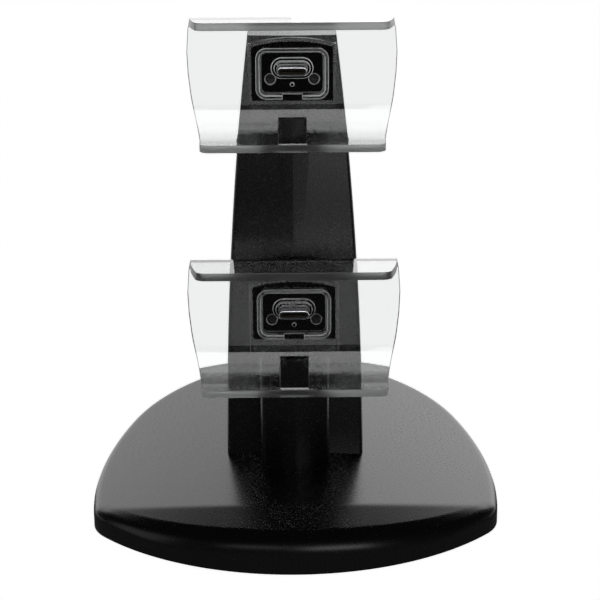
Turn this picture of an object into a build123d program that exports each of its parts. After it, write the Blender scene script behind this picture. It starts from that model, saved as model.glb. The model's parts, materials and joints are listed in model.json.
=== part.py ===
from build123d import *

import math
import os

# Desktop charging dock for two game controllers, in millimetres.
# The front is -Y, up is +Z, and the origin is on the table, under the middle of the base.

# Base housing, seen from above as four arcs: a front bow, two long sides and a round rear
base_width = 116.0
base_depth = 128.0
base_widest_from_front = 48.0
base_front_radius = 72.5
base_side_radius = 135.0
base_corner_radius = 14.0
base_wall = 2.2
base_rim_radius = 2.4

# Base top: crowned from side to side, with a bow-shaped crease, a slope and a round nose down to the front wall
crown_height = 13.5
crown_radius = 230.0
crease_setback = 16.4
crease_radius = 132.0
crease_angle = 9.0
crease_blend = 8.0
slope_span_share = 1.14
nose_share = 0.27
nose_end_angle = 65.0

# Bottom plate, feet and the screws that hold the plate
foot_height = 0.4
foot_recess = 0.8
foot_diameter = 11.0
foot_front_place = (38.0, -38.0)
foot_rear_place = (30.0, 40.0)
plate_thickness = 2.4
fit_gap = 0.2
thread_gap = 0.05
base_post_diameter = 6.4
base_post_front_place = (40.0, -22.0)
base_post_rear_place = (34.0, 26.0)
base_screw_length = 5.0

# Screws of the housing
screw_shank = 2.4
screw_head = 4.6
screw_head_height = 1.4
drive_width = 0.7

# Column, tapered in both views, with a shallow ridge down the middle of its front
column_foot_width = 39.4
column_top_width = 25.1
column_foot_front = -14.0
column_foot_rear = 22.0
column_top_front = 4.7
column_top_rear = 14.5
column_top = 132.4
column_wall = 2.0
column_front_edge_radius = 1.2
column_rear_edge_radius = 3.0
ridge_slope = 0.065
seat_depth = 1.6
split_foot = 6.0
split_top = 10.0
seam_post_diameter = 7.4
seam_screw_heights = (30.0, 80.0, 102.0)
seam_screw_recess = 3.0
seam_screw_bite = 5.6
foot_post_diameter = 6.4
foot_post_height = 9.0
foot_post_x = 15.0
foot_post_front_y = -5.0
foot_post_rear_y = 14.5
foot_screw_length = 8.0

# The two charging stations: height of the plug's axis, and the front of the block that carries it
upper_axis = 124.4
upper_block_front = 1.5
lower_axis = 62.5
lower_block_front = -23.6

# Connector block, measured from its plug's axis
block_width = 24.6
block_above = 7.9
block_arch = 1.85
block_below = 15.8
block_wall = 2.5
block_edge_radius = 0.9

# Half-round pillar that carries the lower block
pillar_width = 19.5
pillar_ahead = 1.2
pillar_bow = 3.5
pillar_corner_radius = 2.4
pillar_overlap = 0.3
pillar_top_radius = 0.9

# Clear cradle: a folded strip that holds the controller between two lips
cradle_wall = 2.1
cradle_half_width = 29.25
cradle_widest = 5.0
cradle_upper_bow = 37.0
cradle_lower_bow = 95.0
cradle_front_half_width = 26.0
cradle_corner_radius = 2.8
lip_top_depth = 18.6
lip_top_rise = 1.35
lip_top_height = 13.83
lip_bottom_depth = 17.0
lip_bottom_drop = 20.76
lip_bend_radius = 8.9
lip_fold_radius = 0.9
lip_edge_radius = 0.7
window_width = 7.8
window_bar = 2.0
window_back = 5.5

# Plug holder: a flange that clamps the cradle to its block
holder_width = 20.3
holder_height = 14.4
holder_drop = 1.6
holder_radius = 3.0
holder_flange = 1.6
holder_rim = 1.0
holder_tray_depth = 0.5
holder_neck_inset = 1.5
collar_width = 11.6
collar_height = 5.8
collar_step = 0.8
collar_inset = 0.8
holder_notch_width = 5.5
holder_notch_height = 1.4
gate_drop = 4.6
gate_diameter = 1.1
holder_screw_x = 6.1
holder_screw_drop = 3.1
holder_recess_diameter = 3.0
holder_screw_head = 2.6
holder_screw_head_height = 0.9
holder_screw_shank = 1.4
holder_drive_width = 0.4

# Charging plug
plug_width = 8.25
plug_height = 2.4
plug_shell_wall = 0.3
plug_reach = 9.0
plug_core_setback = 0.3
plug_slot_width = 6.2
plug_slot_height = 0.74
plug_slot_depth = 5.2
contact_pitch = 0.48
contact_count = 12
contact_width = 0.24
contact_height = 0.12
contact_length = 3.6
contact_setback = 0.9

# Small board behind each block
plug_board_width = 17.0
plug_board_height = 11.0
plug_board_thickness = 1.0

# Control board, inlet socket and leads
board_width = 36.0
board_depth = 26.0
board_corner = 8.0
board_thickness = 1.2
board_rear_gap = 4.0
board_clear = 1.8
board_post_diameter = 5.0
board_post_inset = 4.0
board_post_pitch = 12.0
chip_width = 6.4
chip_depth = 6.4
chip_height = 1.2
capacitor_diameter = 4.0
capacitor_height = 3.2
capacitor_x = 7.4
header_width = 6.0
header_depth = 4.0
header_height = 3.2
inlet_width = 8.94
inlet_height = 3.26
inlet_wall = 0.3
inlet_length = 7.0
inlet_back = 1.5
inlet_gap = 0.3
tongue_width = 6.7
tongue_height = 0.7
tongue_setback = 1.0
lead_diameter = 2.2
lead_bend = 3.2
lead_spread = 7.0
lead_drop_y = 9.3
lead_hole_gap = 1.0

# Places worked out from the sizes above
base_half = base_width / 2
base_front = -base_depth / 2
base_rear = base_depth / 2
widest_y = base_front + base_widest_from_front
plate_bottom = foot_height
plate_top = plate_bottom + plate_thickness
seat_height = crown_height - seat_depth
board_bottom = plate_top + board_clear
board_top = board_bottom + board_thickness
board_rear_y = base_rear - board_rear_gap
board_front_y = board_rear_y - board_depth
board_middle_y = board_front_y + board_post_inset + board_post_pitch / 2
inlet_axis = board_top + inlet_height / 2
inlet_start = base_rear - base_wall / 2 - inlet_length
screw_hole = screw_shank + 2 * thread_gap
stations = (("upper", upper_axis, upper_block_front), ("lower", lower_axis, lower_block_front))
far = base_depth


def slab(outline, y_front, y_back):
    """Extrude a front-view outline (x across, z up) between two depths."""
    plane = Plane(origin=(0, y_back, 0), x_dir=(1, 0, 0), z_dir=(0, -1, 0))
    return extrude(plane * outline, amount=y_back - y_front)


def side_slab(outline, half_width):
    """Extrude a side-view outline (y along, z up) equally to both sides."""
    return extrude(Plane.YZ * outline, amount=half_width, both=True)


def post(place, z_low, z_high, diameter):
    """Upright cylinder between two heights."""
    x, y = place
    return Pos(x, y, (z_low + z_high) / 2) * Cylinder(diameter / 2, z_high - z_low)


def rod(x, z, y_front, y_back, diameter):
    """Cylinder that runs front to back."""
    return slab(Pos(x, z) * Circle(diameter / 2), y_front, y_back)


def brick(x_low, x_high, y_low, y_high, z_low, z_high):
    """Plain box between its corners."""
    middle = Pos((x_low + x_high) / 2, (y_low + y_high) / 2, (z_low + z_high) / 2)
    return middle * Box(x_high - x_low, y_high - y_low, z_high - z_low)


def both_sides(*places):
    """Each place and its twin on the other side of the middle."""
    return [(side * x, y) for x, y in places for side in (-1, 1)]


def screw(head, head_height, shank, length, drive):
    """Screw that points up from z 0, its head below, with a cross recess."""
    form = post((0, 0), -head_height, 0, head)
    form += post((0, 0), 0, length, shank)
    cross = Rectangle(0.62 * head, drive) + Rectangle(drive, 0.62 * head)
    return form - extrude(Pos(0, 0, -head_height) * cross, amount=head_height / 2)


def housing_screw(length):
    """Screw of the size that holds the housing together."""
    return screw(screw_head, screw_head_height, screw_shank, length, drive_width)


def circles_meet(centre_a, radius_a, centre_b, radius_b):
    """The two points where two circles cross."""
    across = centre_b - centre_a
    along = (radius_a**2 - radius_b**2 + across.length**2) / (2 * across.length)
    out = math.sqrt(radius_a**2 - along**2)
    direction = across.normalized()
    normal = Vector(-direction.Y, direction.X)
    foot = centre_a + direction * along
    return foot + normal * out, foot - normal * out


def mirrored(point):
    """The same point on the other side of the middle plane."""
    return Vector(-point.X, point.Y)


def base_outline(inset):
    """Plan of the base, drawn in by a wall: front bow, two sides and a rear arc tangent to both."""
    half = base_half - inset
    front = base_front + inset
    rear = base_rear - inset
    side_radius = base_side_radius - inset
    side_centre = Vector(half - side_radius, widest_y)
    short = side_radius - (rear - widest_y)
    apart = (side_centre.X**2 + short**2) / (2 * short)
    rear_centre = Vector(0, rear - (side_radius - apart))
    rear_right = side_centre + (rear_centre - side_centre).normalized() * side_radius
    bow_radius = base_front_radius - inset
    meets = circles_meet(Vector(0, front + bow_radius), bow_radius, side_centre, side_radius)
    front_right = min((p for p in meets if p.X > 0), key=lambda p: p.Y)
    front_left = mirrored(front_right)
    rear_left = mirrored(rear_right)
    face = make_face(
        [
            ThreePointArc(front_left, (0, front), front_right),
            ThreePointArc(front_right, (half, widest_y), rear_right),
            ThreePointArc(rear_right, (0, rear), rear_left),
            ThreePointArc(rear_left, (-half, widest_y), front_left),
        ]
    )
    return fillet(face.vertices().sort_by(Axis.Y)[:2], base_corner_radius - inset)


def crown_section(x, drop):
    """Side-view section of the base top: level top, soft crease, front slope and round nose."""
    top = crown_height - drop - crown_radius + math.sqrt(crown_radius**2 - x**2)
    crease_y = base_front + crease_setback + crease_radius - math.sqrt(crease_radius**2 - x**2)
    reach = crease_setback * (1 - (x / (slope_span_share * base_width / 2)) ** 2)
    turn = math.radians(crease_angle)
    end = math.radians(nose_end_angle)
    nose_y = crease_y - (1 - nose_share) * reach
    nose_radius = nose_share * reach / (math.sin(end) - math.sin(turn))
    low = -far / 4

    def on_blend(angle):
        return crease_y - crease_blend * math.sin(angle), top - crease_blend * (1 - math.cos(angle))

    slope_y, slope_z = on_blend(turn)
    nose_z = slope_z - (slope_y - nose_y) * math.tan(turn)

    def on_nose(angle):
        ahead = nose_radius * (math.sin(angle) - math.sin(turn))
        return nose_y - ahead, nose_z - nose_radius * (math.cos(turn) - math.cos(angle))

    nose_end = on_nose(end)
    toe = (nose_end[0] - (nose_end[1] - low) / math.tan(end), low)
    face = make_face(
        [
            Line(toe, (far, low)),
            Line((far, low), (far, top)),
            Line((far, top), (crease_y, top)),
            ThreePointArc((crease_y, top), on_blend(turn / 2), on_blend(turn)),
            Line(on_blend(turn), (nose_y, nose_z)),
            ThreePointArc((nose_y, nose_z), on_nose((turn + end) / 2), nose_end),
            Line(nose_end, toe),
        ]
    )
    return Plane(origin=(x, 0, 0), x_dir=(0, 1, 0), z_dir=(1, 0, 0)) * face


def crown_form(drop):
    """Solid under the crowned top, a little wider than the base, lowered by a wall."""
    half_steps = 4
    reach = 1.04 * base_half
    places = [reach * step / half_steps for step in range(-half_steps, half_steps + 1)]
    return loft([crown_section(x, drop) for x in places])


def base_form(inset, drop, bottom):
    """Base body: the plan drawn in by a wall, under the top lowered by a wall."""
    prism = extrude(Pos(0, 0, bottom) * base_outline(inset), amount=2 * crown_height)
    return prism & crown_form(drop)


def base_rim(form):
    """Edges between the upright wall and the crowned top."""
    border = base_outline(0).wires()[0]

    def on_rim(edge):
        if edge.bounding_box().min.Z < plate_top:
            return False
        points = [edge.position_at(share) for share in (0.2, 0.5, 0.8)]
        return all(border.distance_to(Vector(p.X, p.Y, 0)) < 0.05 for p in points)

    return form.edges().filter_by(on_rim)


def share_up(z):
    """Share of the column's height at a height."""
    return (z - seat_height) / (column_top - seat_height)


def front_at(z):
    """Depth of the column's front ridge at a height."""
    return column_foot_front + share_up(z) * (column_top_front - column_foot_front)


def rear_at(z):
    """Depth of the column's rear face at a height."""
    return column_foot_rear + share_up(z) * (column_top_rear - column_foot_rear)


def split_at(z):
    """Depth of the parting plane between the column's two shells at a height."""
    return split_foot + share_up(z) * (split_top - split_foot)


def half_space(front_side):
    """Everything in front of the column's parting plane, or everything behind it."""
    low = seat_height - 1
    high = column_top + 1
    edge = -far if front_side else far
    outline = Polyline((edge, low), (split_at(low), low), (split_at(high), high), (edge, high), close=True)
    return side_slab(make_face(outline), far)


def column_form(inset):
    """Column body, drawn in by a wall on every side but its foot."""
    foot = column_foot_width / 2 - inset
    head = column_top_width / 2 - inset
    top = column_top - inset
    rise = top - seat_height
    bow_radius = (rise**2 + (foot - head) ** 2) / (2 * (foot - head))
    half_angle = math.asin(rise / bow_radius) / 2
    middle_x = foot - bow_radius * (1 - math.cos(half_angle))
    middle_z = seat_height + bow_radius * math.sin(half_angle)
    front_view = make_face(
        [
            Line((-foot, seat_height), (foot, seat_height)),
            ThreePointArc((foot, seat_height), (middle_x, middle_z), (head, top)),
            Line((head, top), (-head, top)),
            ThreePointArc((-head, top), (-middle_x, middle_z), (-foot, seat_height)),
        ]
    )
    side_view = Polyline(
        (column_foot_front + inset, seat_height),
        (column_foot_rear - inset, seat_height),
        (column_top_rear - inset, column_top),
        (column_top_front + inset, column_top),
        close=True,
    )
    form = slab(front_view, -far, far) & side_slab(make_face(side_view), base_half)
    lean = (column_top_front - column_foot_front) / (column_top - seat_height)
    for side in (1, -1):
        facet = Plane(
            origin=(0, column_foot_front + inset, seat_height),
            x_dir=(1, side * ridge_slope, 0),
            z_dir=(side * ridge_slope, -1, lean),
        )
        form -= extrude(facet * Rectangle(far, 4 * far), amount=base_half)
    return form


def upright_edges(form, rear):
    """The column's two long front edges, or its two long rear edges."""

    def wanted(edge):
        middle = edge.center()
        long = edge.bounding_box().size.Z > column_top / 2
        return long and abs(middle.X) > ridge_slope and (middle.Y > split_at(middle.Z)) == rear

    return form.edges().filter_by(wanted)


def connector_block(axis, front):
    """Block that carries a plug, with an arched top edge."""
    half = block_width / 2
    low = axis - block_below
    corner = axis + block_above - block_arch
    face = make_face(
        [
            Line((-half, low), (half, low)),
            Line((half, low), (half, corner)),
            ThreePointArc((half, corner), (0, axis + block_above), (-half, corner)),
            Line((-half, corner), (-half, low)),
        ]
    )
    form = slab(face, front, front_at(axis + block_above) + column_wall)
    return fillet(form.faces().sort_by(Axis.Y)[0].edges(), block_edge_radius)


def lower_pillar(grow):
    """Half-round pillar with a faint centre ridge, from the base up to the lower block."""
    half = pillar_width / 2 + grow
    front = lower_block_front - pillar_ahead - grow
    shoulder = front + pillar_bow
    flank = front + 0.36 * pillar_bow
    top = lower_axis - block_below + pillar_overlap
    rear = front_at(top) + column_wall
    face = make_face(
        [
            Line((-half, rear), (-half, shoulder)),
            ThreePointArc((-half, shoulder), (-half / 2, flank), (0, front)),
            ThreePointArc((0, front), (half / 2, flank), (half, shoulder)),
            Line((half, shoulder), (half, rear)),
            Line((half, rear), (-half, rear)),
        ]
    )
    corners = [v for v in face.vertices() if abs(v.Y - shoulder) < thread_gap]
    face = fillet(corners, pillar_corner_radius + grow)
    form = extrude(Pos(0, 0, seat_height) * face, amount=top - seat_height)
    rim = [e for e in form.faces().sort_by(Axis.Z)[-1].edges() if e.center().Y < rear - thread_gap]
    return fillet(rim, pillar_top_radius)


def column_skin(grow):
    """Outer form of the column and its pillar, grown by a gap on every side."""
    form = column_form(-grow)
    form = fillet(upright_edges(form, False), column_front_edge_radius + grow)
    form = fillet(upright_edges(form, True), column_rear_edge_radius + grow)
    return form + lower_pillar(grow)


def column_body():
    """Outer form of the column with its pillar and blocks, before it is hollowed and split."""
    form = column_skin(0)
    for _, axis, front in stations:
        form += connector_block(axis, front)
    return form


def plug_window(axis, y_front, y_back, gap):
    """Stadium that a plug passes through, with a gap round it."""
    outline = SlotOverall(plug_width + 2 * gap, plug_height + 2 * gap)
    return slab(Pos(0, axis) * outline, y_front, y_back)


def holder_screw_places(axis):
    """Front-view places of a plug holder's two screws."""
    return [(side * holder_screw_x, axis - holder_screw_drop) for side in (-1, 1)]


def foot_post_places(y):
    """Places of the two posts at the foot of one of the column's shells."""
    return both_sides((foot_post_x, y))


def with_foot_posts(shell, y):
    """A column shell with the posts that take screws from inside the base."""
    for place in foot_post_places(y):
        shell += post(place, seat_height, seat_height + foot_post_height, foot_post_diameter)
        shell -= post(place, seat_height, seat_height + foot_screw_length, screw_hole)
    return shell


def column_front_shell(body, hollow):
    """Front moulding: ridged face, sides, both blocks and the pillar, open at the back."""
    shell = (body & half_space(True)) - hollow
    for _, axis, front in stations:
        half = plug_board_width / 2 + fit_gap
        reach = plug_board_height / 2 + fit_gap
        floor = front + block_wall
        shell -= brick(-half, half, floor, split_at(axis), axis - reach, axis + reach)
        shell -= plug_window(axis, front - 1, floor + 1, fit_gap)
        for x, z in holder_screw_places(axis):
            shell -= rod(x, z, front - 1, floor, holder_screw_shank + 2 * thread_gap)
    for z in seam_screw_heights:
        start = front_at(z) + column_wall / 2
        shell += rod(0, z, start, split_at(z) + 1, seam_post_diameter) & half_space(True)
        shell -= rod(0, z, split_at(z) - seam_screw_bite - fit_gap, far, screw_hole)
    return with_foot_posts(shell, foot_post_front_y)


def seam_seat(z):
    """Depth of the seat of a seam screw's head."""
    return rear_at(z) - seam_screw_recess


def column_rear_cover(body, hollow):
    """Rear moulding, screwed to the front shell from behind."""
    cover = (body & half_space(False)) - hollow
    for z in seam_screw_heights:
        end = rear_at(z) - column_wall / 2
        cover += rod(0, z, split_at(z) - 1, end, seam_post_diameter) & half_space(False)
        cover -= rod(0, z, split_at(z) - 1, far, screw_hole)
        cover -= rod(0, z, seam_seat(z), far, screw_head + 2 * fit_gap)
    return with_foot_posts(cover, foot_post_rear_y)


def seam_screws():
    """Screws that hold the rear cover to the front shell."""
    solids = []
    for z in seam_screw_heights:
        length = seam_seat(z) - split_at(z) + seam_screw_bite
        solids.append(Pos(0, seam_seat(z), z) * Rot(90, 0, 0) * housing_screw(length))
    return solids


def base_shell():
    """Crowned housing, hollow from below, with a seat for the column and the inlet's opening."""
    form = base_form(0, 0, plate_bottom)
    form = fillet(base_rim(form), base_rim_radius)
    cavity = base_form(base_wall, base_wall, plate_bottom - 1)
    places = both_sides(base_post_front_place, base_post_rear_place)
    for place in places:
        cavity -= post(place, plate_top, crown_height, base_post_diameter)
    cavity -= Pos(0, 0, -base_wall) * column_skin(base_wall)
    shell = form - cavity - column_skin(fit_gap)
    for place in places:
        hole_top = plate_bottom + screw_head_height + base_screw_length + fit_gap
        shell -= post(place, plate_top, hole_top, screw_hole)
    for side in (-1, 1):
        hole = lead_diameter + 2 * lead_hole_gap
        shell -= post((side * lead_spread, lead_drop_y), 0, crown_height, hole)
    for y in (foot_post_front_y, foot_post_rear_y):
        for place in foot_post_places(y):
            shell -= post(place, plate_top, crown_height, screw_hole)
    opening = SlotOverall(inlet_width + 2 * inlet_gap, inlet_height + 2 * inlet_gap)
    return shell - slab(Pos(0, inlet_axis) * opening, inlet_start, base_rear + 1)


def foot_screws():
    """Screws from inside the base up into the column's foot."""
    seat = seat_height - base_wall
    places = foot_post_places(foot_post_front_y) + foot_post_places(foot_post_rear_y)
    return [Pos(x, y, seat) * housing_screw(foot_screw_length) for x, y in places]


def board_post_places():
    """Places of the control board's four screws."""
    x = board_width / 2 - board_post_inset
    y = board_front_y + board_post_inset
    return both_sides((x, y), (x, y + board_post_pitch))


def base_bottom_plate():
    """Flat plate that closes the base, with posts for the control board."""
    plan = base_outline(base_wall + fit_gap)
    plate = extrude(Pos(0, 0, plate_bottom) * plan, amount=plate_thickness)
    for place in both_sides(base_post_front_place, base_post_rear_place):
        plate -= post(place, plate_bottom - 1, plate_top + 1, screw_hole)
        plate -= post(place, plate_bottom - 1, plate_bottom + screw_head_height, screw_head + 2 * fit_gap)
    for place in both_sides(foot_front_place, foot_rear_place):
        plate -= post(place, plate_bottom - 1, plate_bottom + foot_recess, foot_diameter + 2 * fit_gap)
    for place in board_post_places():
        plate += post(place, plate_top - 1, board_bottom, board_post_diameter)
        plate -= post(place, plate_bottom + plate_thickness / 4, board_bottom + 1, screw_hole)
    return plate


def base_screws():
    """Screws that hold the bottom plate, heads in its recesses."""
    seat = plate_bottom + screw_head_height
    places = both_sides(base_post_front_place, base_post_rear_place)
    return [Pos(x, y, seat) * housing_screw(base_screw_length) for x, y in places]


def rubber_feet():
    """Four round feet, set in recesses under the plate."""
    feet = []
    for place in both_sides(foot_front_place, foot_rear_place):
        foot = post(place, 0, plate_bottom + foot_recess, foot_diameter)
        feet.append(chamfer(foot.faces().sort_by(Axis.Z)[0].edges(), foot_height / 2))
    return feet


def bow_point(axis, rise, radius):
    """Point on a cradle's end at a height from its widest line."""
    half = cradle_half_width - radius + math.sqrt(radius**2 - rise**2)
    return half, axis + cradle_widest + rise


def cradle_front_view(axis):
    """Front-view outline of a cradle, with bowed ends."""
    up = lip_top_height + lip_top_rise + 1 - cradle_widest
    down = -lip_bottom_drop - 1 - cradle_widest
    right = [
        bow_point(axis, down, cradle_lower_bow),
        bow_point(axis, down / 2, cradle_lower_bow),
        (cradle_half_width, axis + cradle_widest),
        bow_point(axis, up / 2, cradle_upper_bow),
        bow_point(axis, up, cradle_upper_bow),
    ]
    left = [(-x, z) for x, z in right]
    return make_face(
        [
            ThreePointArc(*right[:3]),
            ThreePointArc(*right[2:]),
            Line(right[4], left[4]),
            ThreePointArc(*left[2:]),
            ThreePointArc(*left[:3]),
            Line(left[0], right[0]),
        ]
    )


def cradle_profile(axis, back):
    """Side-view section of a cradle: top lip, back panel, bend and bottom lip."""
    face = back - cradle_wall
    top = axis + lip_top_height
    low = axis - lip_bottom_drop
    bend_z = low + cradle_wall + lip_bend_radius
    bend_y = face - lip_bend_radius
    top_y = back - lip_top_depth
    low_y = back - lip_bottom_depth
    tip = top + lip_top_rise
    outer_bend = lip_bend_radius + cradle_wall
    slant = math.sqrt(0.5)
    profile = make_face(
        [
            Line((back, top), (top_y, tip)),
            Line((top_y, tip), (top_y, tip - cradle_wall)),
            Line((top_y, tip - cradle_wall), (face, top - cradle_wall)),
            Line((face, top - cradle_wall), (face, bend_z)),
            ThreePointArc(
                (face, bend_z),
                (bend_y + lip_bend_radius * slant, bend_z - lip_bend_radius * slant),
                (bend_y, low + cradle_wall),
            ),
            Line((bend_y, low + cradle_wall), (low_y, low + cradle_wall)),
            Line((low_y, low + cradle_wall), (low_y, low)),
            Line((low_y, low), (bend_y, low)),
            ThreePointArc(
                (bend_y, low),
                (bend_y + outer_bend * slant, bend_z - outer_bend * slant),
                (back, bend_z),
            ),
            Line((back, bend_z), (back, top)),
        ]
    )
    outer_fold = [v for v in profile.vertices() if v.X > back - thread_gap and v.Y > axis]
    profile = fillet(outer_fold, lip_fold_radius + cradle_wall)
    inner_fold = [v for v in profile.vertices() if abs(v.X - face) < thread_gap and v.Y > axis]
    profile = fillet(inner_fold, lip_fold_radius)
    tips = [v for v in profile.vertices() if v.X < low_y + thread_gap]
    return fillet(tips, lip_edge_radius)


def cradle_plan(back, depth):
    """Plan of a cradle down to the front of a lip, narrower there and with round corners."""
    front = back - depth
    front_half = cradle_half_width - (cradle_half_width - cradle_front_half_width) * depth / lip_top_depth
    outline = Polyline(
        (-cradle_half_width, back),
        (-front_half, front),
        (front_half, front),
        (cradle_half_width, back),
        close=True,
    )
    face = make_face(outline)
    return fillet(face.vertices().sort_by(Axis.Y)[:2], cradle_corner_radius)


def holder_neck(gap):
    """Outline of the holder's neck, which fills the hole in the cradle's panel."""
    inset = holder_neck_inset - gap
    return RectangleRounded(holder_width - 2 * inset, holder_height - 2 * inset, holder_radius - inset)


def cradle(axis, back):
    """Clear strip folded to a back panel and two lips, with a window in the bottom lip."""
    low = axis - lip_bottom_drop
    form = side_slab(cradle_profile(axis, back), cradle_half_width + 1)
    form &= slab(cradle_front_view(axis), back - far, back + far)
    plan = extrude(Pos(0, 0, axis) * cradle_plan(back, lip_top_depth), amount=far)
    plan += extrude(Pos(0, 0, axis) * cradle_plan(back, lip_bottom_depth), amount=-far)
    form &= plan
    half = window_width / 2
    opening = brick(
        -half, half, back - lip_bottom_depth + window_bar, back - window_back, low - 1, low + lip_bend_radius
    )
    form -= fillet(opening.edges().filter_by(Axis.Z), lip_edge_radius)
    return form - slab(Pos(0, axis - holder_drop) * holder_neck(fit_gap), back - cradle_wall - 1, back + 1)


def plug_holder(axis, back):
    """Clear flange with a stepped collar for the plug, two screw recesses and a neck."""
    seat = back - cradle_wall
    face = seat - holder_flange
    floor = face + holder_tray_depth
    middle = axis - holder_drop
    low = middle - holder_height / 2
    form = slab(Pos(0, middle) * RectangleRounded(holder_width, holder_height, holder_radius), face, seat)
    tray = RectangleRounded(
        holder_width - 2 * holder_rim, holder_height - 2 * holder_rim, holder_radius - holder_rim
    )
    form -= slab(Pos(0, middle) * tray, face, floor)
    form += slab(Pos(0, middle) * holder_neck(0), seat, back)
    for step in (0, 1):
        inset = step * collar_inset
        collar = SlotOverall(collar_width - 2 * inset, collar_height - 2 * inset)
        form += slab(Pos(0, axis) * collar, face - step * collar_step, floor)
    form += rod(0, axis - gate_drop, face, floor, gate_diameter)
    half = holder_notch_width / 2
    form -= brick(-half, half, face - 1, seat, low - 1, low + holder_notch_height)
    for x, z in holder_screw_places(axis):
        form -= rod(x, z, face - 1, seat, holder_recess_diameter)
        form -= rod(x, z, face - 1, back + 1, holder_screw_shank + 2 * thread_gap)
    return form - plug_window(axis, face - plug_reach, back + 1, thread_gap)


def holder_screws(axis, back):
    """The two small screws of a holder, heads on the recess floors."""
    seat = back - cradle_wall
    length = cradle_wall + block_wall - fit_gap
    form = screw(holder_screw_head, holder_screw_head_height, holder_screw_shank, length, holder_drive_width)
    return [Pos(x, seat, z) * Rot(-90, 0, 0) * form for x, z in holder_screw_places(axis)]


def plug_shell(axis, back):
    """Drawn metal shell of the plug, its lip rounded."""
    tip = back - plug_reach
    rear = back + block_wall
    form = plug_window(axis, tip, rear, 0)
    form = fillet(form.faces().sort_by(Axis.Y)[0].edges(), plug_shell_wall / 2)
    return form - plug_window(axis, tip - 1, rear + 1, -plug_shell_wall)


def plug_core(axis, back):
    """Insulator inside the plug, with the slot that takes a socket's tongue."""
    start = back - plug_reach + plug_core_setback
    form = plug_window(axis, start, back + block_wall, -plug_shell_wall)
    slot = Rectangle(plug_slot_width, plug_slot_height)
    return form - slab(Pos(0, axis) * slot, start - 1, start + plug_slot_depth)


def plug_contacts(axis, back):
    """Two rows of spring contacts, on the slot's floor and ceiling."""
    start = back - plug_reach + plug_core_setback + contact_setback
    half = contact_width / 2
    middle = plug_slot_height / 2 - contact_height / 2
    solids = []
    for side in (-1, 1):
        z = axis + side * middle
        for index in range(contact_count):
            x = (index - (contact_count - 1) / 2) * contact_pitch
            low = z - contact_height / 2
            solids.append(brick(x - half, x + half, start, start + contact_length, low, low + contact_height))
    return solids


def plug_board(axis, back):
    """Small board on the back of a block, which the plug is soldered to."""
    y = back + block_wall
    half = plug_board_width / 2
    reach = plug_board_height / 2
    return brick(-half, half, y, y + plug_board_thickness, axis - reach, axis + reach)


def control_board():
    """Charging board in the base, with four screw holes and cut rear corners."""
    half = board_width / 2
    form = brick(-half, half, board_front_y, board_rear_y, board_bottom, board_top)
    corners = form.edges().filter_by(Axis.Z).sort_by(Axis.Y)[2:]
    form = chamfer(corners, board_corner)
    for place in board_post_places():
        form -= post(place, board_bottom - 1, board_top + 1, screw_hole)
    return form


def board_screws():
    """Screws that hold the control board on the plate's posts."""
    length = board_thickness + board_clear
    form = Rot(180, 0, 0) * housing_screw(length)
    return [Pos(x, y, board_top) * form for x, y in board_post_places()]


def charge_chip():
    """Charging controller chip in the middle of the board."""
    half = chip_width / 2
    reach = chip_depth / 2
    y = board_middle_y
    return brick(-half, half, y - reach, y + reach, board_top, board_top + chip_height)


def board_capacitors():
    """Two round capacitors beside the chip."""
    places = both_sides((capacitor_x, board_middle_y))
    return [post(place, board_top, board_top + capacitor_height, capacitor_diameter) for place in places]


def lead_headers():
    """The two lead headers at the front edge of the control board."""
    half = header_width / 2
    solids = []
    for side in (-1, 1):
        x = side * lead_spread
        rear = board_front_y + header_depth
        solids.append(brick(x - half, x + half, board_front_y, rear, board_top, board_top + header_height))
    return solids


def inlet_shell():
    """Metal shell of the inlet socket, closed at its inner end."""
    end = inlet_start + inlet_length
    outer = SlotOverall(inlet_width, inlet_height)
    inner = SlotOverall(inlet_width - 2 * inlet_wall, inlet_height - 2 * inlet_wall)
    form = slab(Pos(0, inlet_axis) * outer, inlet_start, end)
    return form - slab(Pos(0, inlet_axis) * inner, inlet_start + inlet_back, end + 1)


def inlet_tongue():
    """Tongue inside the inlet socket."""
    outline = Pos(0, inlet_axis) * RectangleRounded(tongue_width, tongue_height, tongue_height / 3)
    return slab(outline, inlet_start + inlet_back, inlet_start + inlet_length - tongue_setback)


def lead(side, axis, back):
    """Lead from a plug board, down inside the column and back to its header."""
    x = side * lead_spread
    start_y = back + block_wall + plug_board_thickness
    start_z = axis - plug_board_height / 2 + lead_diameter
    end_z = board_top + header_height / 2
    route = FilletPolyline(
        (x, start_y, start_z),
        (x, lead_drop_y, start_z),
        (x, lead_drop_y, end_z),
        (x, board_front_y, end_z),
        radius=lead_bend,
    )
    return sweep(Plane(route @ 0, z_dir=route % 0) * Circle(lead_diameter / 2), path=route)


def save(name, shape):
    """Write one node, from one solid or a list of separate solids."""
    items = shape if isinstance(shape, list) else [shape]
    solids = [solid for item in items for solid in item.solids()]
    export_step(Compound(children=solids), os.path.join("parts", name + ".step"))


os.makedirs("parts", exist_ok=True)
column = column_body()
column_hollow = column_form(column_wall)

save("base_shell", base_shell())
save("base_bottom_plate", base_bottom_plate())
save("base_screws", base_screws())
save("rubber_feet", rubber_feet())
save("column_front_shell", column_front_shell(column, column_hollow))
save("column_rear_cover", column_rear_cover(column, column_hollow))
save("column_seam_screws", seam_screws())
save("column_foot_screws", foot_screws())
for name, axis, front in stations:
    save(name + "_cradle", cradle(axis, front))
    save(name + "_plug_holder", plug_holder(axis, front))
    save(name + "_holder_screws", holder_screws(axis, front))
    save(name + "_plug_shell", plug_shell(axis, front))
    save(name + "_plug_core", plug_core(axis, front))
    save(name + "_plug_contacts", plug_contacts(axis, front))
    save(name + "_plug_board", plug_board(axis, front))
save("control_board", control_board())
save("control_board_screws", board_screws())
save("charge_chip", charge_chip())
save("board_capacitors", board_capacitors())
save("lead_headers", lead_headers())
save("inlet_socket_shell", inlet_shell())
save("inlet_socket_tongue", inlet_tongue())
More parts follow.
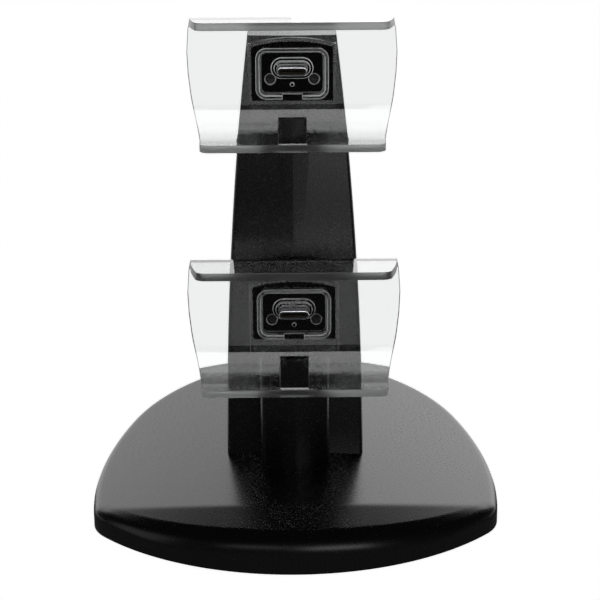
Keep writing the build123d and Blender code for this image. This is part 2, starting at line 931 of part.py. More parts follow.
save("upper_lead", lead(-1, upper_axis, upper_block_front))
save("lower_lead", lead(1, lower_axis, lower_block_front))
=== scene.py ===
# %% [markdown]
# # A charging dock for two game controllers
#
# The dock is a black moulded base with a tapered column, and two clear cradles that each hold a
# controller over a charging plug. The solids come from the CAD model. The large glossy and clear
# pieces are modelled again here on clean quads, because reflections show every uneven triangle.
# The other pieces are merged copies of their solids with finishes of their own.

# %% Load the CAD model
import bpy
import json
import math
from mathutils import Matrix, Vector


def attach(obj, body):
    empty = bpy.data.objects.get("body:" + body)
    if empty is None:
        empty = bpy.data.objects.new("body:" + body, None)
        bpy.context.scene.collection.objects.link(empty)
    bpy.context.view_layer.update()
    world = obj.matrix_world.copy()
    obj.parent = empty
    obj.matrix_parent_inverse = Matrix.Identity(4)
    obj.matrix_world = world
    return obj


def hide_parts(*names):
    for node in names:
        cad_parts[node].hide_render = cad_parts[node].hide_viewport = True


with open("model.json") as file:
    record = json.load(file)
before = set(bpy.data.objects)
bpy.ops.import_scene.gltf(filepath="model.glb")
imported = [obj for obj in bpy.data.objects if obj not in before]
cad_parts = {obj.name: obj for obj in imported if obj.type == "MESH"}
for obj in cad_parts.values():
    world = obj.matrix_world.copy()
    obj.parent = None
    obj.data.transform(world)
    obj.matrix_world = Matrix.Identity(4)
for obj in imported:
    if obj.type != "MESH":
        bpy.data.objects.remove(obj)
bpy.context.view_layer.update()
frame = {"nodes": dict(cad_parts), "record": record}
nodes = frame["nodes"]
slots = {part["node"]: part["material_slot"] for part in frame["record"]["subparts"]}
MM = 0.001

# %% [markdown]
# ## The camera
#
# The photograph looks down on the dock by about 19 degrees, from about half a metre away. A long
# lens keeps the upright lines almost parallel. The camera turns a fraction to the right and rolls a
# fraction, because the dock stands a little left of the middle and leans a hair to the left.

# %% Place the camera
CAMERA_PLACE = (0.0, -0.4796, 0.2179)
CAMERA_PITCH = 18.66
CAMERA_PAN = 0.21
CAMERA_ROLL = 0.4
CAMERA_LENS = 104.52

camera_data = bpy.data.cameras.new("camera")
camera_data.lens = CAMERA_LENS
camera_data.sensor_width = 36.0
camera_data.clip_start = 0.01
camera = bpy.data.objects.new("camera", camera_data)
bpy.context.scene.collection.objects.link(camera)
camera.location = CAMERA_PLACE
camera.rotation_euler = (math.radians(90 - CAMERA_PITCH), 0, math.radians(-CAMERA_PAN))
camera.rotation_euler.rotate_axis("Z", math.radians(-CAMERA_ROLL))
bpy.context.scene.camera = camera
bpy.context.scene.view_settings.view_transform = "Standard"
print("camera looks down by", CAMERA_PITCH, "degrees")

# %% [markdown]
# ## Small helpers
#
# One function turns a hex colour to linear light, and one adds a shader node with its settings and
# links. The others keep the selection clean, so that an operator touches only the piece in hand.

# %% Define the helpers


def deselect():
    """Nothing selected, so that an operator touches only what is new."""
    bpy.ops.object.select_all(action="DESELECT")


def pick(piece):
    """Only this piece selected and active."""
    deselect()
    piece.select_set(True)
    bpy.context.view_layer.objects.active = piece


def linear(hex_colour):
    """An sRGB hex value as linear red, green, blue and alpha."""
    values = [int(hex_colour[i : i + 2], 16) / 255 for i in (1, 3, 5)]
    steps = [v / 12.92 if v <= 0.04045 else ((v + 0.055) / 1.055) ** 2.4 for v in values]
    return (*steps, 1.0)


def add_node(material, kind, settings=None, inputs=None, links=None):
    """Adds a node to a material, with its settings, its input values and its incoming links."""
    node = material.node_tree.nodes.new(kind)
    for name, value in (settings or {}).items():
        setattr(node, name, value)
    for name, value in (inputs or {}).items():
        node.inputs[name].default_value = value
    for name, source in (links or {}).items():
        material.node_tree.links.new(source, node.inputs[name])
    return node


def new_material(name):
    """A material with an empty node tree."""
    material = bpy.data.materials.new(name)
    material.use_nodes = True
    material.node_tree.nodes.clear()
    return material


def surface(material, shader):
    """Sends a shader to the material's output."""
    add_node(material, "ShaderNodeOutputMaterial", links={"Surface": shader.outputs[0]})
    return material


# %% [markdown]
# ## Floor and light
#
# The photograph has a pure white ground, and the black plastic mirrors very little of it. A light
# table gives that: an opal sheet that glows from below, kept out of the mirror reflections. The
# plastic then mirrors only the soft boxes: two behind that light the top of the base at a low
# angle, brighter on the right, and two weak ones in front that lift the facets of the column.
#
# Clear and plated pieces need small bright lights to show their edges, which would spoil the black.
# Light linking lets the strips and the top box light a collection of those pieces alone, gives the
# rounded edges of the column a strip of their own, and keeps every box off the light table, which
# stays an even white.

# %% Make the light table
FLOOR_SIZE = 6.0

opal = new_material("opal_acrylic_sheet")
opal_shader = add_node(
    opal,
    "ShaderNodeBsdfPrincipled",
    inputs={
        "Base Color": linear("#F4F4F4"),
        "Roughness": 0.9,
        "Specular IOR Level": 0.0,
        "Emission Color": linear("#FFFFFF"),
        "Emission Strength": 0.98,
    },
)
surface(opal, opal_shader)
for side, name in ((-1, "light_table_front"), (1, "light_table_rear")):
    deselect()
    bpy.ops.mesh.primitive_plane_add(size=FLOOR_SIZE, location=(0, side * FLOOR_SIZE / 2, 0))
    sheet = bpy.context.object
    sheet.name = name
    sheet.data.materials.append(opal)
    sheet.visible_glossy = side > 0

deselect()
bpy.ops.mesh.primitive_cylinder_add(radius=FLOOR_SIZE / 2, depth=FLOOR_SIZE, end_fill_type="NOTHING")
backdrop = bpy.context.object
backdrop.name = "white_backdrop"
backdrop.data.materials.append(opal)
backdrop.visible_glossy = False
backdrop.visible_diffuse = False
backdrop.visible_transmission = False
print("light table and backdrop", FLOOR_SIZE, "m across")

# %% [markdown]
# What the plastic mirrors between the boxes is the room. A dim room, a little lighter towards the
# table, keeps the black deep without losing the lower wall of the base.

# %% Make the dim room
world = bpy.data.worlds.new("dim_room")
bpy.context.scene.world = world
world.use_nodes = True
room_place = add_node(world, "ShaderNodeTexCoord")
room_axes = add_node(world, "ShaderNodeSeparateXYZ", links={"Vector": room_place.outputs["Generated"]})
room_level = add_node(
    world,
    "ShaderNodeMapRange",
    inputs={"From Min": -0.3, "From Max": 0.3, "To Min": 0.06, "To Max": 0.02},
    links={"Value": room_axes.outputs["Z"]},
)
background = world.node_tree.nodes["Background"]
background.inputs["Color"].default_value = linear("#FFFFFF")
world.node_tree.links.new(room_level.outputs["Result"], background.inputs["Strength"])
print("room", world.name)

# %% [markdown]
# A soft box is a bright rectangle, and its brightness matters more than its power: that is what a
# glossy surface mirrors. The helper takes the brightness and works out the power from the size.

# %% Hang the soft boxes


def soft_box(name, place, target, size, level, only, through=False):
    """A rectangular light that faces a point, with the brightness of its face, for some pieces only."""
    data = bpy.data.lights.new(name, "AREA")
    data.shape = "RECTANGLE"
    data.size, data.size_y = size
    data.energy = level * math.pi * size[0] * size[1]
    light = bpy.data.objects.new(name, data)
    bpy.context.scene.collection.objects.link(light)
    light.location = place
    light.visible_camera = False
    light.visible_transmission = through
    light.rotation_euler = (Vector(target) - Vector(place)).to_track_quat("-Z", "Y").to_euler()
    light.light_linking.receiver_collection = only
    return light


dock_pieces = bpy.data.collections.new("dock_pieces")
bright_pieces = bpy.data.collections.new("clear_and_plated_pieces")
plated_pieces = bpy.data.collections.new("plated_pieces")
column_pieces = bpy.data.collections.new("column_pieces")
soft_box("rear_left_box", (-0.5, 0.9, 0.37), (-0.5, 0, 0.37), (1.0, 0.74), 1.3, dock_pieces)
soft_box("rear_right_box", (0.475, 0.9, 0.37), (0.475, 0, 0.37), (0.95, 0.74), 1.75, dock_pieces)
soft_box("front_right_box", (0.27, -0.78, 0.24), (0, 0, 0.1), (0.44, 0.2), 2.0, dock_pieces)
soft_box("front_left_box", (-0.27, -0.78, 0.32), (0, 0, 0.1), (0.44, 0.16), 0.7, dock_pieces)
soft_box("left_box", (-0.85, -0.25, 0.2), (0, 0, 0.05), (0.4, 0.4), 0.5, dock_pieces)
soft_box("top_box", (0, -0.34, 0.6), (0, 0, 0.1), (1.2, 1.0), 2.2, bright_pieces, through=True)
soft_box("front_strip", (0, -0.62, 0.36), (0, 0, 0.1), (0.6, 0.05), 12, plated_pieces)
soft_box("edge_strip", (0, -0.3, 0.8), (0, 0, 0.1), (0.5, 0.05), 5, column_pieces)
soft_box("left_strip", (-0.7, -0.45, 0.25), (0, 0, 0.08), (0.05, 0.6), 12, bright_pieces)
soft_box("right_strip", (0.7, -0.4, 0.25), (0, 0, 0.08), (0.05, 0.6), 12, bright_pieces)

# %% [markdown]
# ## Finishes
#
# Nearly every finish here is one colour with a fine grain: spark-eroded mould texture on the ABS,
# tumbling marks on plated metal, the orange peel of solder mask. One helper makes them all from a
# noise pattern in real millimetres, which drives a small bump and a small change of roughness.

# %% Define a grained finish


def grained(name, colour, roughness, grain_mm, bump, metallic=0.0, uneven=0.08):
    """A finish of one colour with a fine grain in its height and in its roughness."""
    material = new_material(name)
    place = add_node(material, "ShaderNodeTexCoord")
    grain = add_node(
        material,
        "ShaderNodeTexNoise",
        inputs={"Scale": 1 / (grain_mm * MM), "Detail": 2.0},
        links={"Vector": place.outputs["Object"]},
    )
    height = add_node(
        material,
        "ShaderNodeBump",
        inputs={"Strength": bump, "Distance": 0.06 * MM},
        links={"Height": grain.outputs["Fac"]},
    )
    gloss = add_node(
        material,
        "ShaderNodeMapRange",
        inputs={"To Min": max(roughness - uneven, 0.0), "To Max": roughness + uneven},
        links={"Value": grain.outputs["Fac"]},
    )
    shader = add_node(
        material,
        "ShaderNodeBsdfPrincipled",
        inputs={"Base Color": linear(colour), "Metallic": metallic, "IOR": 1.5},
        links={"Normal": height.outputs["Normal"], "Roughness": gloss.outputs["Result"]},
    )
    return surface(material, shader)


# %% Make the grained finishes
finishes = {
    # Satin black that dulls a reflection a little, as a moulded housing does.
    "black_housing": grained("black_moulded_abs", "#08080A", 0.27, 0.45, 0.03, uneven=0.04),
    # Bright nickel with a soft sheen round the mouth of a plug.
    "plug_metal": grained("nickel_plated_steel", "#D0D0D2", 0.22, 0.3, 0.05, metallic=1.0),
    # Dark zinc that shows only the rim of a screw head.
    "steel": grained("black_zinc_screw_steel", "#4A4A4C", 0.35, 0.25, 0.08, metallic=1.0),
    # Dull black resin inside a plug.
    "plug_insulator": grained("black_plug_resin", "#060606", 0.55, 0.3, 0.08),
    # Warm bright gold on the contacts.
    "contact_metal": grained("gold_plated_bronze", "#D8B25A", 0.25, 0.2, 0.05, metallic=1.0),
    # Dry grey-black that hardly shines.
    "foot_rubber": grained("black_foot_rubber", "#141414", 0.8, 0.6, 0.25),
    # Glossy dark green with an uneven skin.
    "circuit_board": grained("green_solder_mask", "#0C4426", 0.3, 0.8, 0.1),
    # Satin bare metal cans.
    "capacitor_can": grained("bare_aluminium_can", "#C6C6C8", 0.3, 0.4, 0.06, metallic=1.0),
    # Waxy off-white sockets.
    "header_plastic": grained("natural_nylon", "#E4E0D4", 0.5, 0.5, 0.08),
    # Supple black sleeve.
    "lead_sleeve": grained("black_lead_sleeve", "#101010", 0.5, 0.5, 0.12),
}
print("grained finishes", len(finishes))

# %% [markdown]
# Clear plastic shows itself by its edges. A ray that crosses the sheet loses little, but a ray that
# runs along it from edge to edge loses most of its light. The absorption is a volume, so the same
# number gives the pale panel and the dark edge. Faint flow marks from the mould bend the surface by
# a hair.

# %% Make the clear polycarbonate
FLOW_MM = 9.0
ABSORPTION_PER_MM = 0.045

clear_pc = new_material("clear_polycarbonate")
pc_place = add_node(clear_pc, "ShaderNodeTexCoord")
pc_flow = add_node(
    clear_pc,
    "ShaderNodeTexNoise",
    inputs={"Scale": 1 / (FLOW_MM * MM), "Detail": 1.0},
    links={"Vector": pc_place.outputs["Object"]},
)
pc_bend = add_node(
    clear_pc,
    "ShaderNodeBump",
    inputs={"Strength": 0.03, "Distance": 0.2 * MM},
    links={"Height": pc_flow.outputs["Fac"]},
)
pc_shader = add_node(
    clear_pc,
    "ShaderNodeBsdfPrincipled",
    inputs={"Base Color": linear("#FDFEFE"), "Roughness": 0.0, "IOR": 1.5, "Transmission Weight": 1.0},
    links={"Normal": pc_bend.outputs["Normal"]},
)
pc_body = add_node(
    clear_pc,
    "ShaderNodeVolumeAbsorption",
    inputs={"Color": linear("#000000"), "Density": ABSORPTION_PER_MM / MM},
)
add_node(
    clear_pc,
    "ShaderNodeOutputMaterial",
    links={"Surface": pc_shader.outputs[0], "Volume": pc_body.outputs[0]},
)
finishes["clear_plastic"] = clear_pc

# %% [markdown]
# The narrow edges of a moulded clear sheet aren't polished like its faces. They scatter the light
# that runs along the sheet. The cradles' sheets also get a grey tint on their edges, which is painted
# shade for the dark line that refraction draws along a clear edge.

# %% Make the matt edges of the clear pieces
EDGE_GRAIN_MM = 0.5


def matt_edge(name, colour, clear_share):
    """The dull edge of a clear moulding, of which a share lets light through."""
    material = new_material(name)
    place = add_node(material, "ShaderNodeTexCoord")
    grain = add_node(
        material,
        "ShaderNodeTexNoise",
        inputs={"Scale": 1 / (EDGE_GRAIN_MM * MM), "Detail": 2.0},
        links={"Vector": place.outputs["Object"]},
    )
    gloss = add_node(
        material,
        "ShaderNodeMapRange",
        inputs={"To Min": 0.3, "To Max": 0.5},
        links={"Value": grain.outputs["Fac"]},
    )
    shader = add_node(
        material,
        "ShaderNodeBsdfPrincipled",
        inputs={"Base Color": linear(colour), "IOR": 1.5, "Transmission Weight": clear_share},
        links={"Roughness": gloss.outputs["Result"]},
    )
    return surface(material, shader)


# The sheet's edge is tinted grey as painted shade; the small holder's edges catch more light than they pass.
sheet_edge_painted_shade = matt_edge("clear_sheet_matt_edge_painted_shade", "#666868", 1.0)
holder_edge = matt_edge("clear_holder_matt_edge", "#DCDEDE", 0.45)
print("a panel keeps", round(math.exp(-ABSORPTION_PER_MM * 2.1), 2), "of its light")

# %% [markdown]
# ## Setting a piece in its place
#
# Each piece rides on the same frame as the CAD model and takes the place of one node, with that
# node's finish. Normals weighted by face area keep the flat faces of a moulding flat right up to
# its rounded edges, which is how a real reflection runs.

# %% Define how a piece stands for its node
SMOOTH_ANGLE = 32
MERGE_MM = 0.002
FLAT_ANGLE = 0.5


def smooth(piece, angle=SMOOTH_ANGLE):
    """Smooth shading that keeps hard edges, with normals weighted by the size of the faces."""
    pick(piece)
    bpy.ops.object.shade_smooth_by_angle(angle=math.radians(angle))
    weigh = piece.modifiers.new("weigh_normals", "WEIGHTED_NORMAL")
    weigh.mode = "FACE_AREA"
    weigh.weight = 50
    weigh.keep_sharp = True
    bpy.ops.object.modifier_apply(modifier=weigh.name)


def stand_for(piece, node):
    """The piece takes the place, the slot and the finish of a CAD node."""
    if piece.data.materials[:1] != [finishes[slots[node]]]:
        piece.data.materials.clear()
        piece.data.materials.append(finishes[slots[node]])
    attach(piece, "root")
    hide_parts(node)
    dock_pieces.objects.link(piece)
    if slots[node] == "plug_metal":
        plated_pieces.objects.link(piece)
    if node == "column_front_shell":
        column_pieces.objects.link(piece)
    if slots[node] in ("clear_plastic", "plug_metal"):
        bright_pieces.objects.link(piece)


def soften(piece, width, segments, angle, finish=-1):
    """Rounds the hard edges of a piece by a width in millimetres, with a finish of their own if given."""
    pick(piece)
    edges = piece.modifiers.new("soft_edges", "BEVEL")
    edges.width = width * MM
    edges.segments = segments
    edges.limit_method = "ANGLE"
    edges.angle_limit = math.radians(angle)
    edges.use_clamp_overlap = True
    edges.material = finish
    bpy.ops.object.modifier_apply(modifier=edges.name)


def merged_copy(node, edge_width=None):
    """A copy of a CAD node with its loose triangles merged, softened and shaded smooth."""
    pick(nodes[node])
    bpy.ops.object.duplicate()
    piece = bpy.context.object
    piece.name = node + "_finish"
    bpy.ops.object.mode_set(mode="EDIT")
    bpy.ops.mesh.select_all(action="SELECT")
    bpy.ops.mesh.remove_doubles(threshold=MERGE_MM * MM)
    bpy.ops.mesh.dissolve_limited(angle_limit=math.radians(FLAT_ANGLE))
    bpy.ops.object.mode_set(mode="OBJECT")
    if edge_width:
        piece.data.materials.clear()
        piece.data.materials.append(finishes[slots[node]])
        if slots[node] == "clear_plastic":
            piece.data.materials.append(holder_edge)
        soften(piece, edge_width, 2, 40, finish=len(piece.data.materials) - 1)
    smooth(piece)
    stand_for(piece, node)
    return piece


# %% [markdown]
# ## The base
#
# The base is a shallow crowned moulding: four arcs in plan, a top that bows from side to side, and a
# bow-shaped crease at the front. Ahead of the crease the top slopes, and a round nose takes it down
# to the wall. A grid wrapped in rings follows those curves with even quads, so that the long
# reflections stay straight.

# %% The base's sizes, in millimetres
BASE_WIDTH = 116.0
BASE_DEPTH = 128.0
BASE_WIDEST_FROM_FRONT = 48.0
BASE_FRONT_RADIUS = 72.5
BASE_SIDE_RADIUS = 135.0
BASE_CORNER_RADIUS = 14.0
BASE_RIM_RADIUS = 2.4
BASE_WALL = 2.2
BASE_BOTTOM = 0.4
INLET_WIDTH = 9.54
INLET_THICK = 3.86
INLET_HEIGHT = 7.43
CROWN_HEIGHT = 13.5
CROWN_RADIUS = 230.0
CREASE_SETBACK = 16.4
CREASE_RADIUS = 132.0
CREASE_ANGLE = math.radians(9.0)
CREASE_BLEND = 8.0
SLOPE_SPAN_SHARE = 1.14
NOSE_SHARE = 0.27
NOSE_END_ANGLE = math.radians(65.0)

base_front = -BASE_DEPTH / 2
base_rear = BASE_DEPTH / 2
base_half = BASE_WIDTH / 2
widest_y = base_front + BASE_WIDEST_FROM_FRONT


def top_drop(ahead, reach):
    """How far the top has come down at a distance ahead of the crease, for a reach to the front."""
    if ahead <= 0:
        return 0.0
    blend_reach = CREASE_BLEND * math.sin(CREASE_ANGLE)
    if ahead < blend_reach:
        return CREASE_BLEND - math.sqrt(CREASE_BLEND**2 - ahead**2)
    nose_start = (1 - NOSE_SHARE) * reach
    drop = CREASE_BLEND * (1 - math.cos(CREASE_ANGLE))
    drop += (min(ahead, nose_start) - blend_reach) * math.tan(CREASE_ANGLE)
    if ahead < nose_start:
        return drop
    nose_radius = NOSE_SHARE * reach / (math.sin(NOSE_END_ANGLE) - math.sin(CREASE_ANGLE))
    along = nose_radius * math.sin(CREASE_ANGLE) + min(ahead, reach) - nose_start
    drop += nose_radius * math.cos(CREASE_ANGLE) - math.sqrt(nose_radius**2 - along**2)
    return drop + max(ahead - reach, 0) * math.tan(NOSE_END_ANGLE)


def top_height(x, y):
    """Height of the crowned top over a point of the plan."""
    crown = CROWN_HEIGHT - CROWN_RADIUS + math.sqrt(CROWN_RADIUS**2 - x**2)
    crease_y = base_front + CREASE_SETBACK + CREASE_RADIUS - math.sqrt(CREASE_RADIUS**2 - x**2)
    reach = CREASE_SETBACK * (1 - (x / (SLOPE_SPAN_SHARE * base_half)) ** 2)
    return crown - top_drop(crease_y - y, reach)


def circle_meets(centre_a, radius_a, centre_b, radius_b):
    """The two points where two circles meet."""
    line = centre_b - centre_a
    apart = line.length
    along = (radius_a**2 - radius_b**2 + apart**2) / (2 * apart)
    across = math.sqrt(radius_a**2 - along**2)
    foot = centre_a + line * (along / apart)
    side = Vector((-line.y, line.x)) * (across / apart)
    return foot + side, foot - side


side_centre = Vector((base_half - BASE_SIDE_RADIUS, widest_y))
short = BASE_SIDE_RADIUS - (base_rear - widest_y)
rear_radius_cut = (side_centre.x**2 + short**2) / (2 * short)
rear_centre = Vector((0, base_rear - (BASE_SIDE_RADIUS - rear_radius_cut)))
rear_radius = BASE_SIDE_RADIUS - rear_radius_cut
bow_centre = Vector((0, base_front + BASE_FRONT_RADIUS))
corner_centre = max(
    circle_meets(
        bow_centre, BASE_FRONT_RADIUS - BASE_CORNER_RADIUS, side_centre, BASE_SIDE_RADIUS - BASE_CORNER_RADIUS
    ),
    key=lambda p: p.x - p.y,
)


def heading(start, end):
    """Angle of the line from one point to another."""
    return math.atan2(end.y - start.y, end.x - start.x)


bow_end = heading(bow_centre, corner_centre)
corner_end = heading(side_centre, corner_centre)
side_end = heading(side_centre, rear_centre)
right_arcs = [
    (bow_centre, BASE_FRONT_RADIUS, -math.pi / 2, bow_end),
    (corner_centre, BASE_CORNER_RADIUS, bow_end, corner_end),
    (side_centre, BASE_SIDE_RADIUS, corner_end, side_end),
    (rear_centre, rear_radius, side_end, math.pi / 2),
]
lengths = [radius * (end - start) for _, radius, start, end in right_arcs]
print("half of the outline", [round(v, 1) for v in lengths], "mm")


def outline_point(share):
    """Point on the base's outline, its outward direction, at a share of the way round from the front."""
    mirrored = share > 0.5
    way = (1 - share if mirrored else share) * 2 * sum(lengths)
    for (centre, radius, start, end), length in zip(right_arcs, lengths):
        if way <= length or radius == rear_radius:
            angle = start + min(way, length) / radius
            out = Vector((math.cos(angle), math.sin(angle)))
            point = centre + out * radius
            break
        way -= length
    if mirrored:
        point.x, out.x = -point.x, -out.x
    return point, out


# %% [markdown]
# The rings of the grid start at the bottom edge and climb the wall, then step inwards over the top
# to one point. They are close together near the front, where the crease and the nose need them.

# %% Shape the base from a grid
AROUND = 360
RIM_SPACE = 3.6
FINE_STEP = 0.8
FINE_RINGS = 32
COARSE_RINGS = 8
SPINE_REACH = 52.0
spine = Vector((0, -4))
ring_shares = [step * FINE_STEP / SPINE_REACH for step in range(FINE_RINGS)]
fine_end = ring_shares[-1]
ring_shares += [fine_end + (1 - fine_end) * step / COARSE_RINGS for step in range(1, COARSE_RINGS + 1)]
rings = len(ring_shares) + 1

deselect()
bpy.ops.mesh.primitive_grid_add(x_subdivisions=AROUND, y_subdivisions=rings, size=1)
base = bpy.context.object
base.name = "base_housing"
for vertex in base.data.vertices:
    ring = round((vertex.co.y + 0.5) * rings)
    point, out = outline_point(vertex.co.x + 0.5)
    if ring > 1:
        point = (point - out * RIM_SPACE).lerp(spine, ring_shares[ring - 2])
    height = BASE_BOTTOM if ring == 0 else top_height(point.x, point.y)
    vertex.co = (point.x * MM, point.y * MM, height * MM)
bpy.ops.object.mode_set(mode="EDIT")
bpy.ops.mesh.select_all(action="SELECT")
bpy.ops.mesh.remove_doubles(threshold=0.01 * MM)
bpy.ops.mesh.normals_make_consistent(inside=False)
bpy.ops.mesh.select_all(action="DESELECT")
bpy.ops.object.mode_set(mode="OBJECT")
print("base grid", len(base.data.vertices), "vertices")

# %% [markdown]
# A moulded rim is always round, so that it leaves the mould and feels soft. The edge loop between
# the wall and the top is bevelled, and Solidify then gives the shell one even wall.

# %% Round the base's rim and give it a wall


def is_rim(edge):
    """An edge between the upright wall and the top."""
    corners = [base.data.vertices[i].co for i in edge.vertices]
    level = all(abs(c.z / MM - top_height(c.x / MM, c.y / MM)) < 0.01 for c in corners)
    return level and all(i in rim_vertices for i in edge.vertices)


wall_faces = [f for f in base.data.polygons if abs(f.normal.z) < 0.01]
rim_floor = 2 * BASE_BOTTOM * MM
rim_vertices = {i for f in wall_faces for i in f.vertices if base.data.vertices[i].co.z > rim_floor}
for edge in base.data.edges:
    edge.select = is_rim(edge)
pick(base)
bpy.ops.object.mode_set(mode="EDIT")
bpy.ops.mesh.select_mode(type="EDGE")
bpy.ops.mesh.bevel(offset=BASE_RIM_RADIUS * MM, segments=6, affect="EDGES", clamp_overlap=False)
bpy.ops.object.mode_set(mode="OBJECT")
wall = base.modifiers.new("wall", "SOLIDIFY")
wall.thickness = BASE_WALL * MM
wall.offset = -1
bpy.ops.object.modifier_apply(modifier=wall.name)
print("base shell", len(base.data.polygons), "faces")

# %% [markdown]
# The supply socket looks out through a round-ended slot in the rear wall. A block with its four
# long edges rounded stands for the mould's core pin, and a Boolean takes it out of the wall.

# %% Cut the inlet's slot
INLET_CUT_DEPTH = 12.0
inlet_round = INLET_THICK / 2.02

deselect()
bpy.ops.mesh.primitive_cube_add(size=1, location=(0, base_rear * MM, INLET_HEIGHT * MM))
inlet_cutter = bpy.context.object
inlet_cutter.scale = (INLET_WIDTH * MM, INLET_CUT_DEPTH * MM, INLET_THICK * MM)
bpy.ops.object.transform_apply(location=True, rotation=True, scale=True)
for edge in inlet_cutter.data.edges:
    ends = [inlet_cutter.data.vertices[i].co for i in edge.vertices]
    edge.select = abs(ends[0].y - ends[1].y) > INLET_CUT_DEPTH / 2 * MM
bpy.ops.object.mode_set(mode="EDIT")
bpy.ops.mesh.select_mode(type="EDGE")
bpy.ops.mesh.bevel(offset=inlet_round * MM, segments=8, affect="EDGES")
bpy.ops.object.mode_set(mode="OBJECT")
pick(base)
inlet = base.modifiers.new("inlet", "BOOLEAN")
inlet.operation = "DIFFERENCE"
inlet.solver = "EXACT"
inlet.object = inlet_cutter
bpy.ops.object.modifier_apply(modifier=inlet.name)
pick(inlet_cutter)
bpy.ops.object.delete()
smooth(base, 60)
stand_for(base, "base_shell")
print("base housing", len(base.data.polygons), "faces")

# %% [markdown]
# ## The clear cradles
#
# Each cradle is one strip of clear polycarbonate: a top lip, a tight fold, a back panel, a wide bend
# and a bottom lip with a window. It is drawn here as its outer face, a grid that follows the side
# view, and then gets its wall by Solidify and its soft edges by Bevel.

# %% The cradle's sizes, in millimetres
CRADLE_WALL = 2.1
CRADLE_HALF = 29.25
CRADLE_WIDEST = 5.0
CRADLE_UPPER_BOW = 37.0
CRADLE_LOWER_BOW = 95.0
CRADLE_FRONT_HALF = 26.0
CRADLE_EDGE = 0.5
LIP_TOP_DEPTH = 18.6
LIP_TOP_RISE = 1.35
LIP_TOP_HEIGHT = 13.83
LIP_BOTTOM_DEPTH = 17.0
LIP_BOTTOM_DROP = 20.76
LIP_CORNER = 2.8
BEND_RADIUS = 11.0
FOLD_RADIUS = 3.0
WINDOW_HALF = 3.9
WINDOW_BAR = 2.0
WINDOW_BACK = 1.2
NECK_HALF = 8.85
NECK_TOP = 4.3
NECK_BOTTOM = -7.5
LIP_ROWS = [-13.0, -9.0, -5.0]
PANEL_COLUMN = 17.0
stations = {"upper": (124.4, 1.5), "lower": (62.5, -23.6)}


def cradle_side_view():
    """Outer face of a cradle from the tip of its top lip to the tip of its bottom lip."""
    corner_steps = [LIP_CORNER * share for share in (0, 0.05, 0.18, 0.36, 0.6)]
    tilt = math.atan2(LIP_TOP_RISE, LIP_TOP_DEPTH)
    turn = math.pi / 2 - tilt
    tangent = FOLD_RADIUS * math.tan(turn / 2)
    rows = []
    for y in [-LIP_TOP_DEPTH + s for s in corner_steps] + LIP_ROWS:
        rows.append((y, LIP_TOP_HEIGHT - y * math.tan(tilt)))
    centre_y = -FOLD_RADIUS
    centre_z = LIP_TOP_HEIGHT - tangent
    fold_steps = 8
    for step in range(fold_steps + 1):
        angle = turn * (1 - step / fold_steps)
        rows.append((centre_y + FOLD_RADIUS * math.cos(angle), centre_z + FOLD_RADIUS * math.sin(angle)))
    bend_y = -BEND_RADIUS
    bend_z = BEND_RADIUS - LIP_BOTTOM_DROP
    rows += [(0.0, z) for z in (NECK_TOP, (NECK_TOP + NECK_BOTTOM) / 2, NECK_BOTTOM)]
    bend_steps = 16
    for step in range(bend_steps + 1):
        angle = math.pi / 2 * step / bend_steps
        rows.append((bend_y + BEND_RADIUS * math.cos(angle), bend_z - BEND_RADIUS * math.sin(angle)))
    window_front = WINDOW_BAR - LIP_BOTTOM_DEPTH
    rows += [(y, -LIP_BOTTOM_DROP) for y in (window_front + WINDOW_BAR, window_front)]
    rows += [(s - LIP_BOTTOM_DEPTH, -LIP_BOTTOM_DROP) for s in reversed(corner_steps)]
    return rows


def cradle_half_at(y, z):
    """Half width of a cradle at a place of its side view."""
    rise = z - CRADLE_WIDEST
    bow = CRADLE_UPPER_BOW if rise > 0 else CRADLE_LOWER_BOW
    front_view = CRADLE_HALF - bow + math.sqrt(bow**2 - rise**2)
    plan = CRADLE_HALF + (CRADLE_HALF - CRADLE_FRONT_HALF) * y / LIP_TOP_DEPTH
    tip = LIP_TOP_DEPTH if z > 0 else LIP_BOTTOM_DEPTH
    into = max(LIP_CORNER - (y + tip), 0)
    return min(front_view, plan) - LIP_CORNER + math.sqrt(LIP_CORNER**2 - min(into, LIP_CORNER) ** 2)


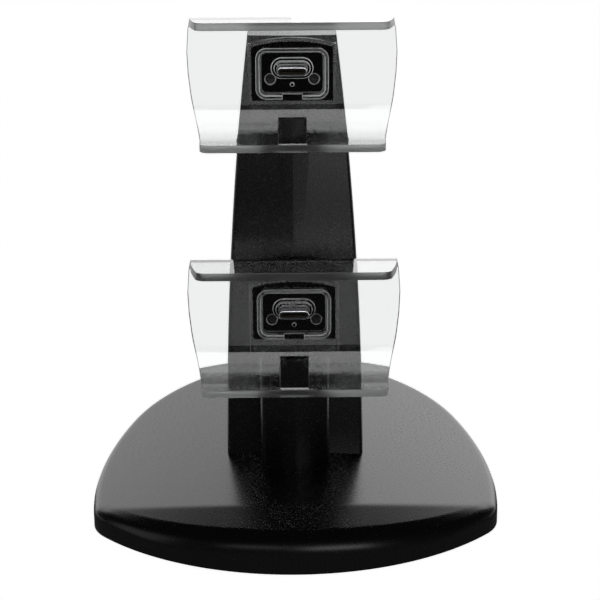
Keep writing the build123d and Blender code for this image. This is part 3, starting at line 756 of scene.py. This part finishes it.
def clear_cradle(name, axis, back):
    """One clear cradle, from a grid over its side view."""
    rows = cradle_side_view()
    inner = (WINDOW_HALF, NECK_HALF, PANEL_COLUMN)
    columns = [-1.0, *[-x for x in reversed(inner)], *inner, 1.0]
    deselect()
    bpy.ops.mesh.primitive_grid_add(x_subdivisions=len(columns) - 1, y_subdivisions=len(rows) - 1, size=1)
    piece = bpy.context.object
    piece.name = name + "_clear_cradle"
    for vertex in piece.data.vertices:
        y, z = rows[round((vertex.co.y + 0.5) * (len(rows) - 1))]
        x = columns[round((vertex.co.x + 0.5) * (len(columns) - 1))]
        if abs(x) == 1.0:
            x *= cradle_half_at(y, z)
        vertex.co = (x * MM, (back + y) * MM, (axis + z) * MM)
    bpy.ops.object.mode_set(mode="EDIT")
    bpy.ops.mesh.select_mode(type="FACE")
    bpy.ops.mesh.select_all(action="DESELECT")
    bpy.ops.object.mode_set(mode="OBJECT")
    for face in piece.data.polygons:
        x, y, z = face.center / MM
        y, z = y - back, z - axis
        in_neck = abs(x) < NECK_HALF and NECK_BOTTOM < z < NECK_TOP
        in_lip = z < NECK_BOTTOM and WINDOW_BAR - LIP_BOTTOM_DEPTH < y < -WINDOW_BACK
        face.select = in_neck or (abs(x) < WINDOW_HALF and in_lip)
    bpy.ops.object.mode_set(mode="EDIT")
    bpy.ops.mesh.delete(type="FACE")
    bpy.ops.object.mode_set(mode="OBJECT")
    piece.data.materials.append(clear_pc)
    # The second slot is the sheet's edge, whose grey tint is painted shade for the dark line along a clear
    # edge.
    piece.data.materials.append(sheet_edge_painted_shade)
    wall = piece.modifiers.new("wall", "SOLIDIFY")
    wall.thickness = CRADLE_WALL * MM
    wall.offset = -1
    wall.use_even_offset = True
    wall.material_offset_rim = 1
    bpy.ops.object.modifier_apply(modifier=wall.name)
    soften(piece, CRADLE_EDGE, 3, 50, finish=1)
    smooth(piece, 50)
    stand_for(piece, name + "_cradle")
    return piece


for name, (axis, back) in stations.items():
    cradle = clear_cradle(name, axis, back)
    print(cradle.name, len(cradle.data.polygons), "faces")

# %% [markdown]
# ## The other pieces
#
# The column, the blocks, the plug holders, the plugs and the hidden electronics keep the shape of
# their solids. The thin rims of the clear holders and the screw heads get a small round, because a
# real edge is never sharp and a round edge is what catches the light.

# %% Finish the other pieces
modelled = {"base_shell", "upper_cradle", "lower_cradle"}
edge_widths = {
    "upper_plug_holder": 0.15,
    "lower_plug_holder": 0.15,
    "upper_holder_screws": 0.15,
    "lower_holder_screws": 0.15,
}
for name in nodes:
    if name not in modelled:
        merged_copy(name, edge_widths.get(name))
print("merged copies", len(nodes) - len(modelled))
